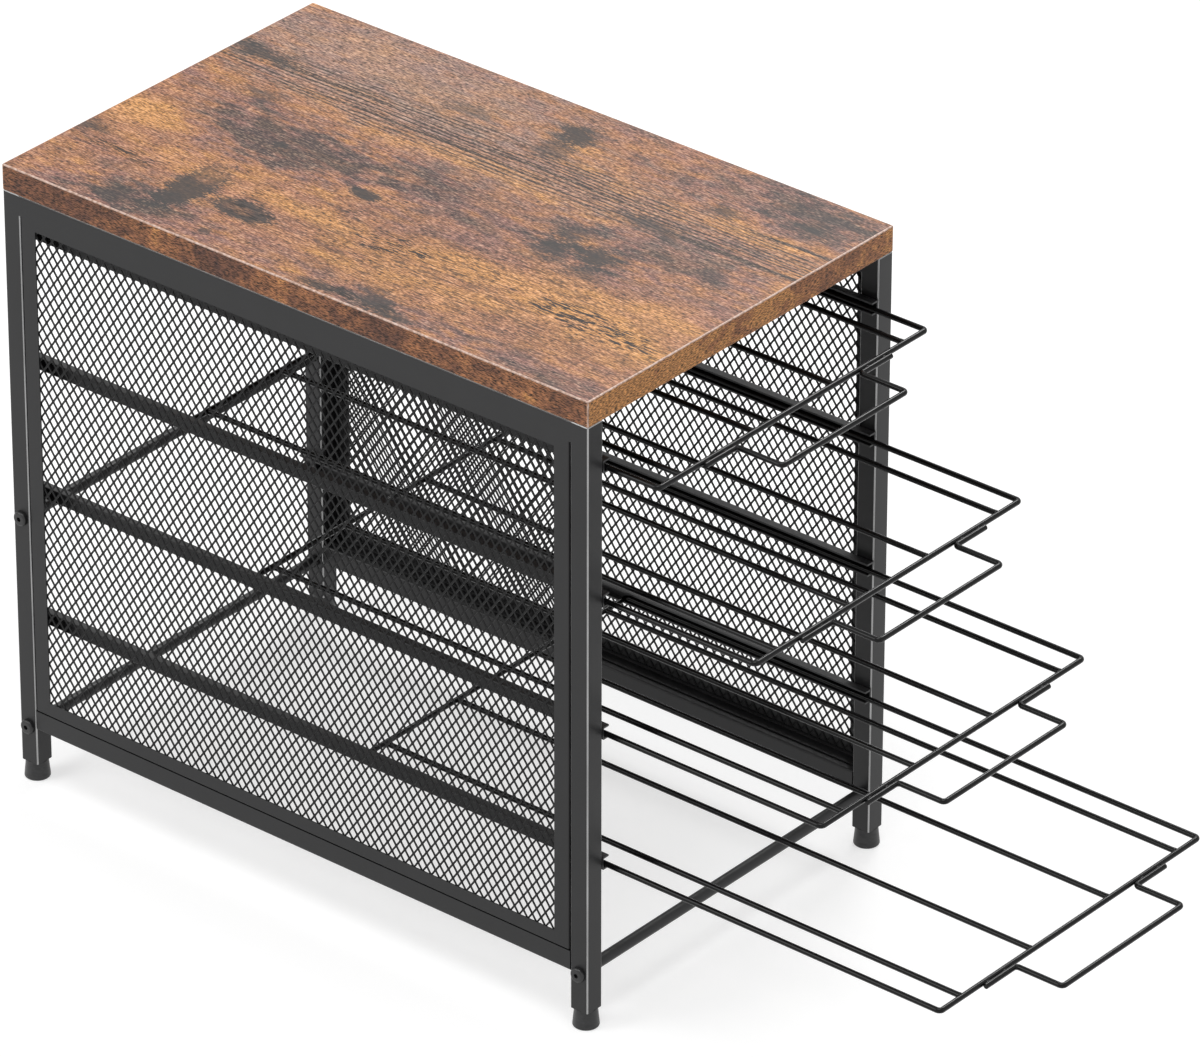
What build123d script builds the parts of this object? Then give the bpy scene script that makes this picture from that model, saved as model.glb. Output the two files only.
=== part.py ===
from build123d import *
import os

# Countertop stand with a wooden board on top and four wire drawers, sizes in millimetres.
# Left is -X, front is -Y, up is +Z. Levels are heights above the lower end of the legs,
# until everything is placed at the end.

# Top board
board_width = 196.4
board_depth = 319.2
board_thickness = 12.15
board_bevel = 0.6

# Square tube of the legs and of the side rails
tube_size = 9.5
tube_wall = 1.0
tube_corner = 1.0
leg_length = 277.7
bottom_rail_level = 17.8

# Feet
foot_height = 8.8
foot_top_diameter = 9.9
foot_bottom_diameter = 11.7
foot_edge_radius = 0.9
foot_plug_length = 6.0
foot_plug_play = 0.1

# Side panels: a folded sheet frame around an expanded metal net
panel_sheet = 0.5
panel_seam = 0.5
panel_bottom_seam = 0.3
panel_stile = 7.9
panel_top_band = 4.7
panel_bottom_band = 6.6
panel_fold_inset = 3.5
net_thickness = 0.4
net_edge_gap = 1.2
net_pitch_across = 19.2
net_pitch_up = 26.9
net_strand = 0.9
net_smallest_gap = 4.0

# Drawers of round wire, their pull-out listed from the top drawer to the bottom one
wire_diameter = 2.5
weld_gap = 0.05
top_drawer_drop = 22.7
lowest_drawer_level = 67.9
drawer_pulls = [28.2, 78.8, 113.6, 175.6]
drawer_rear_gap = 0.2
drawer_corner_inside = 0.5
middle_slot_pitch = 51.4
side_strip_pitch = 14.4
handle_reach = 26.3
handle_width = 80.0
handle_tail = 20.0
handle_bend_inside = 0.5

# Runners: channels that open towards the middle
runner_sheet = 0.8
runner_lip = 0.45
runner_headroom = 1.75
running_play = 0.15
side_play = 0.25
rear_stop_play = 0.3
rear_stop_width = 3.0

# Cross rods and their bolts
lower_rod_level = 17.95
middle_rod_drop = 9.0
rod_wall = 1.05
bolt_head_diameter = 6.8
bolt_head_height = 1.9
bolt_head_edge = 1.0
bolt_shank_diameter = 3.0
bolt_thread_length = 9.0
bolt_play = 0.1
thread_play = 0.05
socket_across_flats = 2.0
socket_depth = 1.1

# Screws that hold the board on the side rails
screw_end_distance = 60.0
screw_head_diameter = 6.0
screw_head_height = 1.8
screw_shank_diameter = 3.0
screw_cover = 3.15
screw_play = 0.1

# Worked out from the values above
leg_x = board_width / 2 - tube_size / 2
leg_y = board_depth / 2 - tube_size / 2
leg_inner_x = board_width / 2 - tube_size
leg_inner_y = board_depth / 2 - tube_size
top_rail_level = leg_length - tube_size
panel_half_depth = leg_inner_y - panel_seam
panel_bottom = bottom_rail_level + tube_size + panel_bottom_seam
window_half_depth = panel_half_depth - panel_stile
window_bottom = panel_bottom + panel_bottom_band
window_top = top_rail_level - panel_top_band
window_level = (window_bottom + window_top) / 2
wire_radius = wire_diameter / 2
drawer_half_width = leg_inner_x - runner_sheet - side_play - wire_radius
closed_front_bar = -board_depth / 2 + wire_radius
bar_spacing = leg_inner_y - drawer_rear_gap - wire_radius - closed_front_bar
last_drawer = len(drawer_pulls) - 1
drawer_pitch = (leg_length - top_drawer_drop - lowest_drawer_level) / last_drawer
drawer_levels = [lowest_drawer_level + drawer_pitch * (last_drawer - n) for n in range(last_drawer + 1)]
rod_diameter = bolt_shank_diameter + 2 * thread_play + 2 * rod_wall
middle_rod_level = lowest_drawer_level + drawer_pitch - middle_rod_drop
rod_levels = {"front": [lower_rod_level], "rear": [lower_rod_level, middle_rod_level]}
screw_y = board_depth / 2 - screw_end_distance
screw_bite = board_thickness - screw_cover
sides = {"left": -1, "right": 1}
ends = {"front": -1, "rear": 1}


def block(x_limits, y_limits, z_limits):
    """Box between two limits on each axis, given in either order."""
    low = [min(limits) for limits in (x_limits, y_limits, z_limits)]
    high = [max(limits) for limits in (x_limits, y_limits, z_limits)]
    spans = [b - a for a, b in zip(low, high)]
    middle = [(a + b) / 2 for a, b in zip(low, high)]
    return Pos(*middle) * Box(*spans)


def round_bar(diameter, start, length, direction):
    """Round bar that starts at a point and runs along a direction."""
    profile = Plane(origin=start, z_dir=direction) * Circle(diameter / 2)
    return extrude(profile, length)


def square_tube(length):
    """Hollow square tube that stands on the origin."""
    inner_size = tube_size - 2 * tube_wall
    profile = RectangleRounded(tube_size, tube_size, tube_corner) - Rectangle(inner_size, inner_size)
    return extrude(profile, length)


def round_wire(path):
    """Round wire bent along a path."""
    section = Plane(origin=path @ 0, z_dir=path % 0) * Circle(wire_radius)
    return sweep(section, path=path)


def screw_places(level):
    """Axis points of the four board screws at a level."""
    return [(s * leg_x, e * screw_y, level) for s in sides.values() for e in ends.values()]


def make_board():
    """Board with bevelled upper and upright edges and blind pilot holes below."""
    board = Box(board_width, board_depth, board_thickness)
    upright = board.edges().filter_by(Axis.Z)
    upper = board.faces().sort_by(Axis.Z)[-1].edges()
    board = Pos(0, 0, leg_length + board_thickness / 2) * chamfer(upright + upper, board_bevel)
    hole_diameter = screw_shank_diameter + 2 * thread_play
    for place in screw_places(leg_length):
        board -= round_bar(hole_diameter, place, screw_bite + thread_play, (0, 0, 1))
    return board


def make_board_screws():
    """Four pan head screws, up through the side rails into the board."""
    screws = []
    for place in screw_places(top_rail_level):
        head = round_bar(screw_head_diameter, place, screw_head_height, (0, 0, -1))
        head = fillet(head.edges().sort_by(Axis.Z)[0], screw_head_height / 2)
        screws.append(head + round_bar(screw_shank_diameter, place, tube_size + screw_bite, (0, 0, 1)))
    return screws


def make_leg(side, end):
    """Leg tube, drilled across for the bolts of its rods."""
    x = sides[side] * leg_x
    y = ends[end] * leg_y
    leg = Pos(x, y, 0) * square_tube(leg_length)
    hole_diameter = bolt_shank_diameter + 2 * bolt_play
    for level in rod_levels[end]:
        leg -= round_bar(hole_diameter, (x - tube_size, y, level), 2 * tube_size, (1, 0, 0))
    return leg


def make_foot(side, end):
    """Flared foot with a rounded lower edge and a square plug inside the tube."""
    body = Pos(0, 0, -foot_height / 2) * Cone(foot_bottom_diameter / 2, foot_top_diameter / 2, foot_height)
    body = fillet(body.edges().sort_by(Axis.Z)[0], foot_edge_radius)
    half_plug = tube_size / 2 - tube_wall - foot_plug_play
    plug = block((-half_plug, half_plug), (-half_plug, half_plug), (0, foot_plug_length))
    return Pos(sides[side] * leg_x, ends[end] * leg_y, 0) * (body + plug)


def make_side_rail(side, level):
    """Tube along the depth, welded between the front and the rear leg."""
    start = Pos(sides[side] * leg_x, -leg_inner_y, level + tube_size / 2) * Rot(-90, 0, 0)
    return start * square_tube(2 * leg_inner_y)


def make_top_rail(side):
    """Upper side rail with clearance holes for the board's screws."""
    rail = make_side_rail(side, top_rail_level)
    hole_diameter = screw_shank_diameter + 2 * screw_play
    for place in screw_places(top_rail_level - tube_size):
        rail -= round_bar(hole_diameter, place, 3 * tube_size, (0, 0, 1))
    return rail


def make_panel_frame(side):
    """Sheet frame flush with the legs, folded inwards beside them and at the bottom."""
    s = sides[side]
    outer_x = s * board_width / 2
    inner_x = outer_x - s * panel_sheet
    fold_x = outer_x - s * (tube_size - panel_fold_inset)
    full_depth = (-panel_half_depth, panel_half_depth)
    window_depth = (-window_half_depth, window_half_depth)
    frame = block((outer_x, inner_x), full_depth, (panel_bottom, top_rail_level))
    frame -= block((outer_x, inner_x), window_depth, (window_bottom, window_top))
    frame += block((outer_x, fold_x), full_depth, (panel_bottom, panel_bottom + panel_sheet))
    for e in ends.values():
        fold_depth = (e * panel_half_depth, e * (panel_half_depth - panel_sheet))
        frame += block((outer_x, fold_x), fold_depth, (panel_bottom, top_rail_level))
    return frame


def net_gaps(width, height):
    """Outlines of the net's diamond gaps, staggered and cut off at the window's edge."""
    trim = net_strand / (2 * (net_pitch_across ** 2 + net_pitch_up ** 2) ** 0.5)
    half_across = net_pitch_across / 2 - net_pitch_up * trim
    half_up = net_pitch_up / 2 - net_pitch_across * trim
    diamond = Polygon((half_across, 0), (0, half_up), (-half_across, 0), (0, -half_up), align=None)
    window = Rectangle(width, height)
    columns = int(width / net_pitch_across) + 1
    rows = int(height / net_pitch_up) + 1
    gaps = []
    for column in range(-columns, columns + 1):
        for row in range(-rows, rows + 1):
            across = column * net_pitch_across / 2
            up = row * net_pitch_up / 2
            outside = abs(across) > width / 2 + half_across or abs(up) > height / 2 + half_up
            if (column + row) % 2 or outside:
                continue
            gap = Pos(across, up) * diamond
            if abs(across) + half_across > width / 2 or abs(up) + half_up > height / 2:
                gap = window & gap
            if gap is not None and gap.area > net_smallest_gap:
                gaps.append(gap.face().outer_wire())
    return gaps


def make_net(side):
    """Net behind the panel frame, one holed sheet that laps over the frame's inner face."""
    s = sides[side]
    half_depth = panel_half_depth - panel_sheet - net_edge_gap
    bottom = panel_bottom + panel_sheet + net_edge_gap - window_level
    top = top_rail_level - net_edge_gap - window_level
    corners = [(-half_depth, bottom), (half_depth, bottom), (half_depth, top), (-half_depth, top)]
    outline = Polygon(*corners, align=None).face().outer_wire()
    sheet = Face(outline, net_gaps(2 * window_half_depth, window_top - window_bottom))
    centre = (s * (board_width / 2 - panel_sheet), 0, window_level)
    plane = Plane(origin=centre, x_dir=(0, s, 0), z_dir=(s, 0, 0))
    return extrude(plane * sheet, -net_thickness)


def make_runner(side, level):
    """Channel welded inside the legs, with a stop block beside the rear leg."""
    s = sides[side]
    outer_x = s * leg_inner_x
    web_x = outer_x - s * runner_sheet
    lip_x = web_x - s * (side_play + wire_diameter + runner_lip)
    floor_top = level - wire_radius - running_play
    roof = level + wire_radius + runner_headroom
    bottom = floor_top - runner_sheet
    top = roof + runner_sheet
    length = (-board_depth / 2, board_depth / 2)
    stop = leg_inner_y - drawer_rear_gap + rear_stop_play
    runner = block((outer_x, web_x), length, (bottom, top))
    runner += block((outer_x, lip_x), length, (bottom, floor_top))
    runner += block((outer_x, lip_x), length, (roof, top))
    runner += block((outer_x, lip_x), (stop, stop + rear_stop_width), (bottom, top))
    return runner


def make_rod(end, level):
    """Cross rod between the legs' inner faces, with a bolt hole in each end."""
    y = ends[end] * leg_y
    hole_diameter = bolt_shank_diameter + 2 * thread_play
    hole_depth = bolt_thread_length + bolt_play
    rod = round_bar(rod_diameter, (-leg_inner_x, y, level), 2 * leg_inner_x, (1, 0, 0))
    for s in sides.values():
        rod -= round_bar(hole_diameter, (s * leg_inner_x, y, level), hole_depth, (-s, 0, 0))
    return rod


def make_bolt():
    """Button head bolt with a hex socket, its head on the XY plane and its shank below."""
    head = round_bar(bolt_head_diameter, (0, 0, 0), bolt_head_height, (0, 0, 1))
    edge = min(bolt_head_edge, bolt_head_height * 0.9)
    head = fillet(head.edges().sort_by(Axis.Z)[-1], edge)
    shank = round_bar(bolt_shank_diameter, (0, 0, 0), tube_size + bolt_thread_length, (0, 0, -1))
    hexagon = RegularPolygon(socket_across_flats / 2, 6, major_radius=False)
    socket = extrude(Pos(0, 0, bolt_head_height - socket_depth) * hexagon, socket_depth)
    return head + shank - socket


def make_rod_bolts():
    """A bolt from each leg's outer face into each end of each rod."""
    bolt = make_bolt()
    bolts = []
    for end, levels in rod_levels.items():
        for level in levels:
            for s in sides.values():
                place = Pos(s * board_width / 2, ends[end] * leg_y, level) * Rot(0, s * 90, 0)
                bolts.append(place * bolt)
    return bolts


def make_drawer_loop(front_bar, level):
    """Outer wire of a drawer, bent into one closed rectangle."""
    bend = wire_radius + drawer_corner_inside
    outline = RectangleRounded(2 * drawer_half_width, bar_spacing, bend).face().outer_wire()
    return Pos(0, front_bar + bar_spacing / 2, level) * round_wire(outline)


def make_slot_wires(front_bar, level):
    """Four long wires, welded between the front and the rear bar."""
    inner_x = middle_slot_pitch / 2
    outer_x = drawer_half_width - side_strip_pitch
    start = front_bar + wire_radius + weld_gap
    length = bar_spacing - wire_diameter - 2 * weld_gap
    places = [(x, start, level) for x in (-outer_x, -inner_x, inner_x, outer_x)]
    return [round_bar(wire_diameter, place, length, (0, 1, 0)) for place in places]


def make_handle(front_bar, level):
    """Hat shaped pull, its tails welded along the front bar."""
    tail_y = front_bar - wire_diameter - weld_gap
    reach_y = front_bar - handle_reach
    half = handle_width / 2
    tip = half + handle_tail
    right_half = [(half, reach_y), (half, tail_y), (tip, tail_y)]
    left_half = [(-x, y) for x, y in reversed(right_half)]
    path = FilletPolyline(*left_half, *right_half, radius=wire_radius + handle_bend_inside)
    return Pos(0, 0, level) * round_wire(path)


def save_pieces(pieces):
    """Put the origin under the middle of the object as it stands, and write each piece."""
    foremost = closed_front_bar - max(drawer_pulls) - handle_reach - wire_radius
    rearmost = board_depth / 2
    placed = Pos(0, -(foremost + rearmost) / 2, foot_height)
    os.makedirs("parts", exist_ok=True)
    for name, shape in pieces.items():
        shapes = shape if isinstance(shape, list) else [shape]
        solids = [placed * solid for one in shapes for solid in one.solids()]
        whole = solids[0] if len(solids) == 1 else Compound(children=solids)
        export_step(whole, f"parts/{name}.step")


pieces = {
    "top_board": make_board(),
    "board_screws": make_board_screws(),
    "front_lower_rod": make_rod("front", lower_rod_level),
    "rear_lower_rod": make_rod("rear", lower_rod_level),
    "rear_middle_rod": make_rod("rear", middle_rod_level),
    "rod_bolts": make_rod_bolts(),
}
for side in sides:
    for end in ends:
        pieces[f"{end}_{side}_leg"] = make_leg(side, end)
        pieces[f"{end}_{side}_foot"] = make_foot(side, end)
    pieces[f"{side}_top_rail"] = make_top_rail(side)
    pieces[f"{side}_bottom_rail"] = make_side_rail(side, bottom_rail_level)
    pieces[f"{side}_panel_frame"] = make_panel_frame(side)
    pieces[f"{side}_panel_net"] = make_net(side)
for number, (level, pull) in enumerate(zip(drawer_levels, drawer_pulls), start=1):
    front_bar = closed_front_bar - pull
    for side in sides:
        pieces[f"{side}_runner_{number}"] = make_runner(side, level)
    pieces[f"drawer_{number}_loop"] = make_drawer_loop(front_bar, level)
    pieces[f"drawer_{number}_slot_wires"] = make_slot_wires(front_bar, level)
    pieces[f"drawer_{number}_handle"] = make_handle(front_bar, level)
save_pieces(pieces)
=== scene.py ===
import math

import bmesh
import bpy
from mathutils import Matrix, Vector


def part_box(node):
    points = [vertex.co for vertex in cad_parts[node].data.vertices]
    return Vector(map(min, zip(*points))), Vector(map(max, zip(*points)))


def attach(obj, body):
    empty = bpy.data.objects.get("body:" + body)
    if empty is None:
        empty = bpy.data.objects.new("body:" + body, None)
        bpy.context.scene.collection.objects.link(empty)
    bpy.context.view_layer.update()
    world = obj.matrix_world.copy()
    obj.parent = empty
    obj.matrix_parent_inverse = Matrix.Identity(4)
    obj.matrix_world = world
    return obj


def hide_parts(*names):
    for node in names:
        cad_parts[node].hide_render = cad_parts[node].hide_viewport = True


# Countertop stand of powder coated steel with a laminated board and four wire drawers.
# Left is -X, front is -Y, up is +Z. Lengths are millimetres times MM, and patterns are in plain millimetres.
MM = 0.001
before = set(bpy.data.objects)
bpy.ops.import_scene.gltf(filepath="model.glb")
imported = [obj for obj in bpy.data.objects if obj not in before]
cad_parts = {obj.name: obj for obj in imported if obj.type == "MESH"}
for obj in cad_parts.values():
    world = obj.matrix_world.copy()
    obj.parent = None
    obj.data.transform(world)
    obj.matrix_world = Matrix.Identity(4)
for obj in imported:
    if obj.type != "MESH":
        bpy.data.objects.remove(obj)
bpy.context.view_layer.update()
SIDES = {"left": -1, "right": 1}
ENDS = {"front": -1, "rear": 1}
DRAWERS = [1, 2, 3, 4]
RODS = ["front_lower_rod", "rear_lower_rod", "rear_middle_rod"]

# All meshes
SHARP_ANGLE = math.radians(40)
# A face looks along an axis, and an edge runs along it, where its direction has more than this there
FACING = 0.9
PARALLEL = 0.999
TINY = 0.01 * MM
TUBE_MERGE = 0.06 * MM
WIRE_MERGE = 0.005 * MM

# Board
BOARD_BEVEL = 0.6 * MM
# The lower bevel carries a painted highlight.
BOARD_LOWER_BEVEL = 0.35 * MM

# Square tube
TUBE_WALL = 1.0 * MM
TUBE_CORNER = 1.0 * MM
# The legs' broken top edge carries the painted highlight under the board.
LEG_TOP_EDGE = 0.3 * MM

# Side panels
PANEL_SHEET = 0.5 * MM
PANEL_BEND = 0.6 * MM
PANEL_STILE = 7.9 * MM
PANEL_TOP_BAND = 4.7 * MM
PANEL_BOTTOM_BAND = 6.6 * MM
NET_PITCH_ACROSS = 4.8 * MM
NET_PITCH_UP = 6.72 * MM
NET_STRAND = 0.80 * MM
NET_KNUCKLE = 0.3 * MM
NET_THICKNESS = 0.4 * MM
NET_CELL_Y = 0.42 * MM
NET_CELL_Z = 147.75 * MM

# Wire
WIRE_RADIUS = 1.25 * MM
WIRE_SIDES = 16
BEND_STEPS = 6
WIRE_CUT = 0.15 * MM
WIRE_BEND = 1.75 * MM
HANDLE_HALF_WIDTH = 40.0 * MM
MIDDLE_SLOT_PITCH = 51.4 * MM
WELD_LAP = 0.6 * MM
WELD_COLLAR = 1.1
WELD_SPOT_SIZE = (2.2 * MM, 0.5 * MM, 0.8 * MM)
WELD_SPOT_FROM_BEND = 6.0 * MM
WELD_SPOT_FROM_TIP = 3.0 * MM

# Runners
RUNNER_SHEET = 0.8 * MM
RUNNER_STOP_INSET = 9.4 * MM
RUNNER_STOP_WIDTH = 3.0 * MM
RUNNER_STOP_EDGE = 0.15 * MM

# Rods, bolts and feet
ROD_EDGE = 0.2 * MM
BOLT_HEAD_RADIUS = 3.4 * MM
BOLT_HEAD_EDGE = 1.0 * MM
BOLT_HEAD_HEIGHT = 1.9 * MM
BOLT_SHANK_RADIUS = 1.5 * MM
BOLT_SHANK_LENGTH = 18.5 * MM
SOCKET_RADIUS = 1.155 * MM
SOCKET_DEPTH = 1.1 * MM
FOOT_TOP_RADIUS = 4.95 * MM
FOOT_BOTTOM_RADIUS = 5.85 * MM
FOOT_HEIGHT = 8.8 * MM
FOOT_EDGE = 0.9 * MM
FOOT_TOP_EDGE = 0.2 * MM
PLUG_HALF_WIDTH = 3.65 * MM
PLUG_ROOT = 1.0 * MM

# Floor and background
FLOOR_HALF_WIDTH = 6.0
FLOOR_DROP = 0.05 * MM
FLOOR_GREY = 0.54
FLOOR_GLOW = 0.56
BACKGROUND_LIGHT = 0.55

# Photograph's view: place in metres, angles in radians, lens in millimetres
CAMERA_PLACE = (-2.61692, -2.16586, 2.12094)
CAMERA_YAW = 0.8756
CAMERA_PITCH = 0.52
CAMERA_ROLL = -0.0016
CAMERA_LENS = 282.74


# Materials


def linear(code):
    """Linear RGBA of an sRGB hex colour."""
    channels = [int(code[i:i + 2], 16) / 255 for i in (1, 3, 5)]
    return [c / 12.92 if c <= 0.04045 else ((c + 0.055) / 1.055) ** 2.4 for c in channels] + [1.0]


def add(tree, kind, inputs=None, stops=None, **settings):
    """Add a node, set or link its inputs by name or number, and fill its colour ramp."""
    node = tree.nodes.new(kind)
    for name, value in settings.items():
        setattr(node, name, value)
    for key, value in (inputs or {}).items():
        if isinstance(value, bpy.types.NodeSocket):
            tree.links.new(value, node.inputs[key])
        else:
            node.inputs[key].default_value = value
    for number, (position, code) in enumerate(stops or []):
        if number > 1:
            node.color_ramp.elements.new(position)
        node.color_ramp.elements[number].position = position
        node.color_ramp.elements[number].color = linear(code)
    return node


def start_material(name, **shader_values):
    """New material, its node tree, its shader, and points in millimetres from the board's middle.

    The shader's values are named like its inputs, with _ for a space.
    """
    material = bpy.data.materials.new(name)
    material.use_nodes = True
    tree = material.node_tree
    shader = tree.nodes["Principled BSDF"]
    for key, value in shader_values.items():
        shader.inputs[key.replace("_", " ")].default_value = value
    low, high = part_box("top_board")
    middle = (low + high) / 2
    coordinates = add(tree, "ShaderNodeTexCoord")
    points = add(tree, "ShaderNodeMapping", {
        "Vector": coordinates.outputs["Object"],
        "Location": -middle / MM,
        "Scale": (1 / MM, 1 / MM, 1 / MM),
    })
    return material, tree, shader, points.outputs[0]


def connect(tree, shader, **outputs):
    """Link outputs to the shader's inputs."""
    for key, output in outputs.items():
        tree.links.new(output, shader.inputs[key.replace("_", " ")])


def grain(tree, points, sizes, detail=2.0, distortion=0.0):
    """Noise whose blotches have these sizes in millimetres along X, Y and Z."""
    scaled = add(tree, "ShaderNodeMapping", {"Vector": points, "Scale": [1 / size for size in sizes]})
    return add(tree, "ShaderNodeTexNoise", {
        "Vector": scaled.outputs[0],
        "Scale": 1.0,
        "Detail": detail,
        "Distortion": distortion,
    })


def soft_areas(tree, points, raggedness, areas, start=0.0, blur=0.4):
    """Sum of soft elliptic areas, each given as middle x, y, half sizes across X and Y, and an amount.

    Each fades out around its outline, over this share of its half sizes on both sides of it.
    """
    total = start
    for x, y, half_x, half_y, amount in areas:
        spread = add(tree, "ShaderNodeMapping", {
            "Vector": points,
            "Location": (-x / half_x, -y / half_y, 0),
            "Scale": (1 / half_x, 1 / half_y, 0),
        })
        distance = add(tree, "ShaderNodeVectorMath", {0: spread.outputs[0]}, operation="LENGTH")
        ragged = add(tree, "ShaderNodeMath", {0: distance.outputs["Value"], 1: raggedness}, operation="ADD")
        inside = add(tree, "ShaderNodeMapRange", {
            "Value": ragged.outputs[0],
            "From Min": AREA_OUTLINE + blur,
            "From Max": AREA_OUTLINE - blur,
        }, interpolation_type="SMOOTHSTEP")
        total = add(tree, "ShaderNodeMath", {
            0: inside.outputs[0], 1: amount, 2: total,
        }, operation="MULTIPLY_ADD").outputs[0]
    return total


# Share of its half sizes at which a soft area is half faded
AREA_OUTLINE = 0.925

# Tone areas of the printed wood: warm where the amount is positive, purplish brown where it is negative.
TONE_AREAS = [
    (-7, 77, 18, 46, -0.43),
    (4, -12, 17, 66, -0.27),
    (20, -110, 20, 44, -0.27),
    (36, 40, 14, 120, -0.03),
    (82, -115, 20, 44, -0.29),
    (-25, 141, 19, 18, 0.29),
    (-50, 46, 7, 36, 0.38),
    (-46, -100, 22, 66, 0.38),
    (-22, -142, 12, 18, 0.25),
    (27, 55, 8, 60, 0.23),
    (56, -130, 6, 32, 0.23),
    (-88, 95, 12, 36, -0.34),
    (-92, -45, 8, 40, -0.28),
    (-68, -20, 12, 50, 0.16),
    (-90, -120, 8, 30, -0.18),
]

# Areas where the print is washed out.
WASH_AREAS = [
    (72, 95, 34, 90, 0.28),
    (40, -10, 20, 130, 0.16),
]

# Smoke grey areas of the printed wood.
SMOKE_AREAS = [
    (76, -9, 9, 11.5, 0.75),
    (61, -9, 10.5, 10, 0.30),
    (64.5, 42, 5, 16, 0.45),
    (83, -135, 16, 26, 0.45),
    (63, -100, 4, 9, 0.75),
    (70, -135, 5, 22, 0.35),
    (48, 144, 6, 22, 0.80),
    (18, 118, 7, 11, 0.50),
    (-7, 77, 14, 38, 0.16),
    (-2, -74, 18, 24, 0.22),
    (8, -64, 10, 9, 0.50),
    (-9, -65, 10, 11, 0.66),
    (-2.5, -85, 8, 11.5, 1.00),
    (-17, -90, 8, 11, 0.50),
    (16, -131, 8, 10, 0.45),
    (33, -85, 5.5, 23, 0.65),
    (-74, 84, 18, 12, 0.30),
    (-66, 62, 8, 20, 0.25),
    (-86, 103, 10, 16, 0.60),
    (-88, -38, 8, 12, 0.80),
    (-94, -50, 3.5, 14, 0.80),
    (-93, -13, 3.5, 9, 0.75),
    (-48, 154, 5, 8, 0.75),
]

# Printed knots with a firmer outline, and the paler parts inside them.
KNOT_AREAS = [
    (-61.5, 84.8, 23, 11, 0.74),
    (-50, 85, 9, 5.5, -0.34),
    (-71, 84.8, 14, 9.5, 0.30),
    (-64.3, 55, 8.4, 18, 0.70),
    (-65, 57, 3.8, 9, -0.38),
    (-21.4, 25.2, 4.3, 9.4, 1.00),
    (-11, 81.8, 3.4, 4, 0.60),
    (-88, 54.8, 3.2, 3.4, 0.70),
    (78, -6, 7, 8, 0.25),
    (72, -12, 7, 8, 0.25),
    (60, -9.6, 10, 10, 0.32),
]

# Straight grain lines fill a band right of the middle, this far apart.
GRAIN_LINE_PITCH = 2.3
GRAIN_LINE_BAND = [(42, 0, 17, 230, 1.0)]

# Long dark grain lines of the printed wood.
LINE_AREAS = [
    (59.2, -142, 1.0, 26, 1.2),
    (36.5, -128, 1.0, 38, 1.3),
    (44.5, -30, 0.9, 64, 1.0),
    (38.0, 30, 0.9, 64, 1.0),
    (47.5, 90, 0.8, 52, 0.9),
]

# Places of the printed cracks.
CRACK_AREAS = [
    (-48, -14, 7, 16, 1.0),
    (-47, -124, 8, 34, 1.0),
    (-58, 134, 5, 26, 0.9),
    (-63, 52, 6, 14, 0.9),
    (-93, -26, 4, 30, 0.9),
    (-55, -60, 34, 110, 0.60),
    (40, 0, 90, 150, 0.15),
]


def wood_shade(tree, colour, fibre, darkest, lightest):
    """Darken and lighten a printed colour by its fibres, from a darkest to a lightest factor."""
    shade = add(tree, "ShaderNodeMapRange", {
        "Value": fibre, "From Min": 0.36, "From Max": 0.64, "To Min": darkest, "To Max": lightest,
    })
    shaded = add(tree, "ShaderNodeVectorMath", {0: colour, "Scale": shade.outputs[0]}, operation="SCALE")
    return shaded.outputs[0]


def wood_tone(tree, points, warped, raggedness):
    """Ground of the print, from purplish brown to warm tan, drifting between pink and yellow."""
    broad = grain(tree, points, (20.0, 60.0, 30.0), detail=2.0)
    tone = add(tree, "ShaderNodeMath", {0: broad.outputs["Fac"], 1: 0.9, 2: 0.05}, operation="MULTIPLY_ADD")
    tone = add(tree, "ShaderNodeMath", {0: raggedness, 1: 0.42, 2: tone.outputs[0]}, operation="MULTIPLY_ADD")
    tone = soft_areas(tree, warped, raggedness, TONE_AREAS, tone.outputs[0], blur=0.65)
    wood = add(tree, "ShaderNodeValToRGB", {"Fac": tone}, stops=[
        (0.10, "#4A3734"), (0.34, "#815B50"), (0.56, "#98684A"), (0.84, "#B9844C"),
    ])
    drift = grain(tree, points, (8.0, 20.0, 10.0), detail=4.0)
    tint = add(tree, "ShaderNodeValToRGB", {"Fac": drift.outputs["Fac"]}, stops=[
        (0.40, "#FFFAFF"), (0.62, "#FFFAE2"),
    ])
    tinted = add(tree, "ShaderNodeMixRGB", {
        "Fac": 1.0, "Color1": wood.outputs[0], "Color2": tint.outputs[0],
    }, blend_type="MULTIPLY")
    washed_out = soft_areas(tree, warped, raggedness, WASH_AREAS, blur=0.7)
    return add(tree, "ShaderNodeMixRGB", {
        "Fac": washed_out, "Color1": tinted.outputs[0], "Color2": linear("#A29388"),
    }).outputs[0]


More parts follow.
